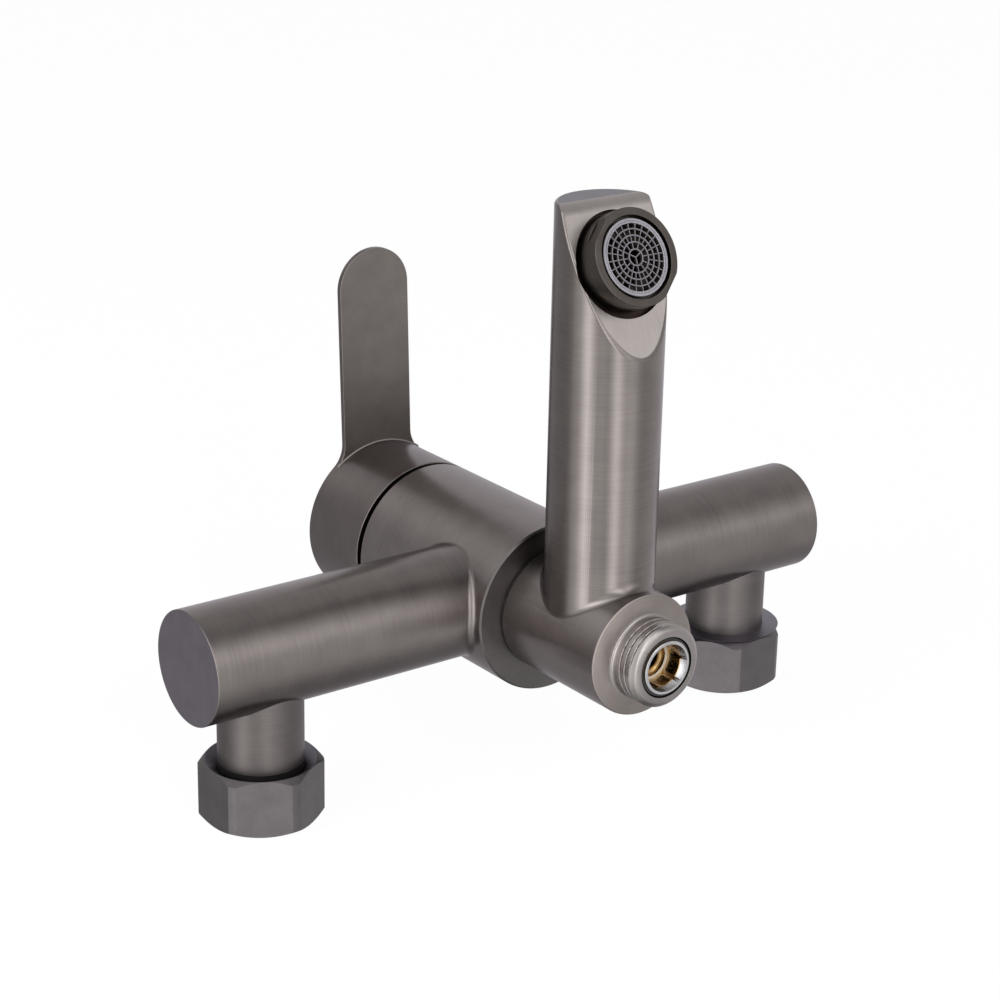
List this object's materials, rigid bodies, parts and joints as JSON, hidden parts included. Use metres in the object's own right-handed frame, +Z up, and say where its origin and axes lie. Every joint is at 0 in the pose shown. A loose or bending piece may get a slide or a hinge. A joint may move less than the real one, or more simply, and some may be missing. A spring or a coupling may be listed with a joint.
{
  "type": "bath and shower mixer tap",
  "caption": "Wall-mounted single-lever bath mixer with straight arms, union nuts, a swivel spout with an angled aerator and a threaded shower outlet below.",
  "frame": {"origin": "midway between the two inlets, in the plane of the wall faces of their union nuts", "axes": "+X along the arms towards the cold inlet, +Y into the wall, +Z up towards the lever; the spout points along -Y"},
  "size_m": [0.1896, 0.152, 0.1243],
  "materials": {
    "gunmetal": "brushed, graphite-grey vapour-deposited coating",
    "satin_steel": "satin machined steel",
    "brass": "machined, bare",
    "ceramic": "lapped",
    "rubber": "moulded",
    "white_plastic": "moulded",
    "grey_plastic": "moulded",
    "dark_plastic": "moulded",
    "dark_satin": "dark satin coating"
  },
  "bodies": {
    "root": {"body": "gunmetal", "hot_inlet_nipple": "brass", "cold_inlet_nipple": "brass", "hot_washer": "rubber", "cold_washer": "rubber", "cartridge_base": "white_plastic", "port_seals": "rubber", "cartridge_housing": "white_plastic", "fixed_disc": "ceramic", "retaining_nut": "satin_steel", "cover_ring": "rubber", "slip_ring": "rubber", "spindle": "brass", "mouth_seal": "rubber"},
    "cartridge_rotor": {"rotor": "dark_plastic", "pivot_pin": "satin_steel"},
    "lever": {"lever_handle": "gunmetal", "lever_stem": "brass", "clamping_screw": "satin_steel", "screw_plug": "gunmetal"},
    "carrier": {"disc_carrier": "grey_plastic", "moving_disc": "ceramic"},
    "swivel_spout": {"spout": "gunmetal", "diverter_disc": "white_plastic", "shank_seal": "rubber", "aerator_housing": "dark_satin", "aerator_insert": "grey_plastic", "aerator_seal": "rubber"},
    "hot_nut": {"hot_union_nut": "gunmetal"},
    "cold_nut": {"cold_union_nut": "gunmetal"}
  },
  "joints": [
    {"name": "lever_turn", "type": "hinge", "parent": "root", "child": "cartridge_rotor", "pos_m": [0, -0.04365, 0.03], "axis": [0, 0, 1], "range_deg": [-48.1, 51.9]},
    {"name": "lever_lift", "type": "hinge", "parent": "cartridge_rotor", "child": "lever", "pos_m": [0, -0.04365, 0.0323], "axis": [-0.9995, 0.0332, 0], "range_deg": [0, 25]},
    {"name": "disc_slide", "type": "slide", "parent": "cartridge_rotor", "child": "carrier", "axis": [-0.0332, -0.9995, 0], "range_m": [0, 0.0037]},
    {"name": "spout_turn", "type": "hinge", "parent": "root", "child": "swivel_spout", "pos_m": [0, -0.04365, -0.036], "axis": [0, 0, 1], "range_deg": [-90, 90]},
    {"name": "hot_nut_turn", "type": "hinge", "parent": "root", "child": "hot_nut", "pos_m": [-0.075, 0, 0], "axis": [0, 1, 0], "continuous": true},
    {"name": "cold_nut_turn", "type": "hinge", "parent": "root", "child": "cold_nut", "pos_m": [0.075, 0, 0], "axis": [0, 1, 0], "continuous": true}
  ],
  "couplings": [
    {"joint": "disc_slide", "follows": "lever_lift", "m_per_rad": 0.008427}
  ]
}
